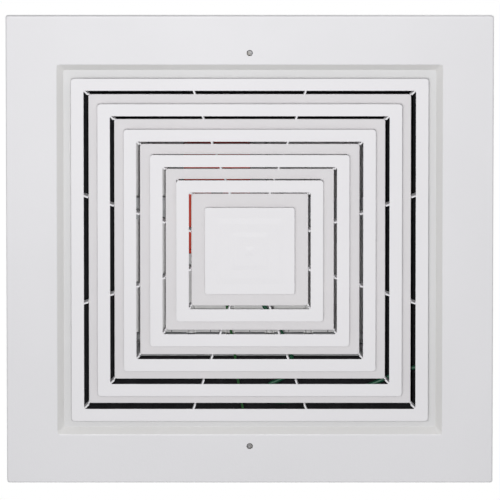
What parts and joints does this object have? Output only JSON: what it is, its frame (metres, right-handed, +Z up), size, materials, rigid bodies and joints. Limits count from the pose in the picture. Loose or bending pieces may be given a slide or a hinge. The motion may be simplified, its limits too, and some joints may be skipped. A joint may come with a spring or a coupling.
{
  "type": "ceiling air diffuser",
  "caption": "Square slotted ceiling air diffuser with a drop-out core, black-lined backpan, square neck and a motorised opposed-blade damper.",
  "frame": {"origin": "centre of the face in the plane of the ceiling's underside", "axes": "+Z up into the ceiling; the face looks down along -Z; the driven blade ends are on the -Y side"},
  "size_m": [0.595, 0.595, 0.1626],
  "materials": {
    "white_paint": "satin",
    "grey_paint": "satin",
    "galvanised": "galvanised",
    "zinc_steel": "zinc plated",
    "spring_steel": "bright",
    "lining_foam": "matt",
    "gasket_foam": "matt",
    "orange_shell": "matt",
    "black_shell": "matt",
    "white_nylon": "matt",
    "grey_shell": "matt",
    "green_sheath": "satin",
    "earth_sheath": "satin",
    "black_rubber": "matt",
    "brass_plate": "bright"
  },
  "bodies": {
    "root": {"face_frame": "white_paint", "ceiling_gasket": "gasket_foam", "fixing_screw_1": "zinc_steel", "fixing_screw_2": "zinc_steel", "screw_cup_1": "zinc_steel", "screw_cup_2": "zinc_steel", "backpan": "galvanised", "pan_lining": "lining_foam", "core_clip_1": "spring_steel", "core_clip_2": "spring_steel", "core_clip_3": "spring_steel", "core_clip_4": "spring_steel", "neck_collar": "galvanised", "damper_frame": "galvanised", "actuator_cover": "orange_shell", "actuator_base": "black_shell", "actuator_strap": "galvanised", "control_cable": "green_sheath", "earth_wire": "earth_sheath", "cable_grommet": "black_rubber", "cable_clip_1": "white_nylon", "cable_clip_2": "white_nylon", "terminal_box": "grey_shell", "terminal_lid": "grey_shell", "earth_bolt": "brass_plate", "earth_nut": "brass_plate", "earth_lug": "zinc_steel", "hanger_1": "galvanised", "hanger_2": "galvanised", "hanger_3": "galvanised", "hanger_4": "galvanised"},
    "core": {"lip_1": "white_paint", "lip_2": "white_paint", "lip_3": "white_paint", "lip_4": "white_paint", "lip_5": "white_paint", "strip_2": "grey_paint", "strip_3": "grey_paint", "strip_4": "grey_paint", "strip_5": "grey_paint", "strip_6": "grey_paint", "centre_plate": "white_paint", "core_spider": "white_paint"},
    "crank": {"drive_spindle": "zinc_steel", "drive_crank": "zinc_steel"},
    "slide": {"slide_bar": "galvanised"},
    "release": {"release_button": "black_shell"},
    "damper_blade_1": {"blade_1": "galvanised", "blade_shaft_1": "zinc_steel"},
    "damper_blade_2": {"blade_2": "galvanised", "blade_shaft_2": "zinc_steel"},
    "damper_blade_3": {"blade_3": "galvanised", "blade_shaft_3": "zinc_steel"},
    "damper_blade_4": {"blade_4": "galvanised", "blade_shaft_4": "zinc_steel"},
    "damper_blade_5": {"blade_5": "galvanised", "blade_shaft_5": "zinc_steel"},
    "damper_blade_6": {"blade_6": "galvanised", "blade_shaft_6": "zinc_steel"}
  },
  "joints": [
    {"name": "core_drop", "type": "slide", "parent": "root", "child": "core", "axis": [0, 0, -1], "range_m": [0, 0.08]},
    {"name": "crank_turn", "type": "hinge", "parent": "root", "child": "crank", "pos_m": [-0.04, -0.1, 0.08], "axis": [0, 0, 1], "range_deg": [0, 90]},
    {"name": "bar_slide", "type": "slide", "parent": "root", "child": "slide", "axis": [1, 0, 0], "range_m": [0, 0.01697]},
    {"name": "release_press", "type": "slide", "parent": "root", "child": "release", "axis": [0, 0, 1], "range_m": [0, 0.003], "stiffness_N_per_m": 400, "springref_m": -0.002},
    {"name": "blade_turn_1", "type": "hinge", "parent": "root", "child": "damper_blade_1", "pos_m": [-0.12, 0, 0.112], "axis": [0, 1, 0], "range_deg": [0, 90]},
    {"name": "blade_turn_2", "type": "hinge", "parent": "root", "child": "damper_blade_2", "pos_m": [-0.072, 0, 0.112], "axis": [0, -1, 0], "range_deg": [0, 90]},
    {"name": "blade_turn_3", "type": "hinge", "parent": "root", "child": "damper_blade_3", "pos_m": [-0.024, 0, 0.112], "axis": [0, 1, 0], "range_deg": [0, 90]},
    {"name": "blade_turn_4", "type": "hinge", "parent": "root", "child": "damper_blade_4", "pos_m": [0.024, 0, 0.112], "axis": [0, -1, 0], "range_deg": [0, 90]},
    {"name": "blade_turn_5", "type": "hinge", "parent": "root", "child": "damper_blade_5", "pos_m": [0.072, 0, 0.112], "axis": [0, 1, 0], "range_deg": [0, 90]},
    {"name": "blade_turn_6", "type": "hinge", "parent": "root", "child": "damper_blade_6", "pos_m": [0.12, 0, 0.112], "axis": [0, -1, 0], "range_deg": [0, 90]}
  ],
  "couplings": [
    {"joint": "crank_turn", "follows": "bar_slide", "rad_per_m": 92.56},
    {"joint": "blade_turn_1", "follows": "bar_slide", "rad_per_m": 92.56},
    {"joint": "blade_turn_2", "follows": "bar_slide", "rad_per_m": 92.56},
    {"joint": "blade_turn_3", "follows": "bar_slide", "rad_per_m": 92.56},
    {"joint": "blade_turn_4", "follows": "bar_slide", "rad_per_m": 92.56},
    {"joint": "blade_turn_5", "follows": "bar_slide", "rad_per_m": 92.56},
    {"joint": "blade_turn_6", "follows": "bar_slide", "rad_per_m": 92.56}
  ]
}
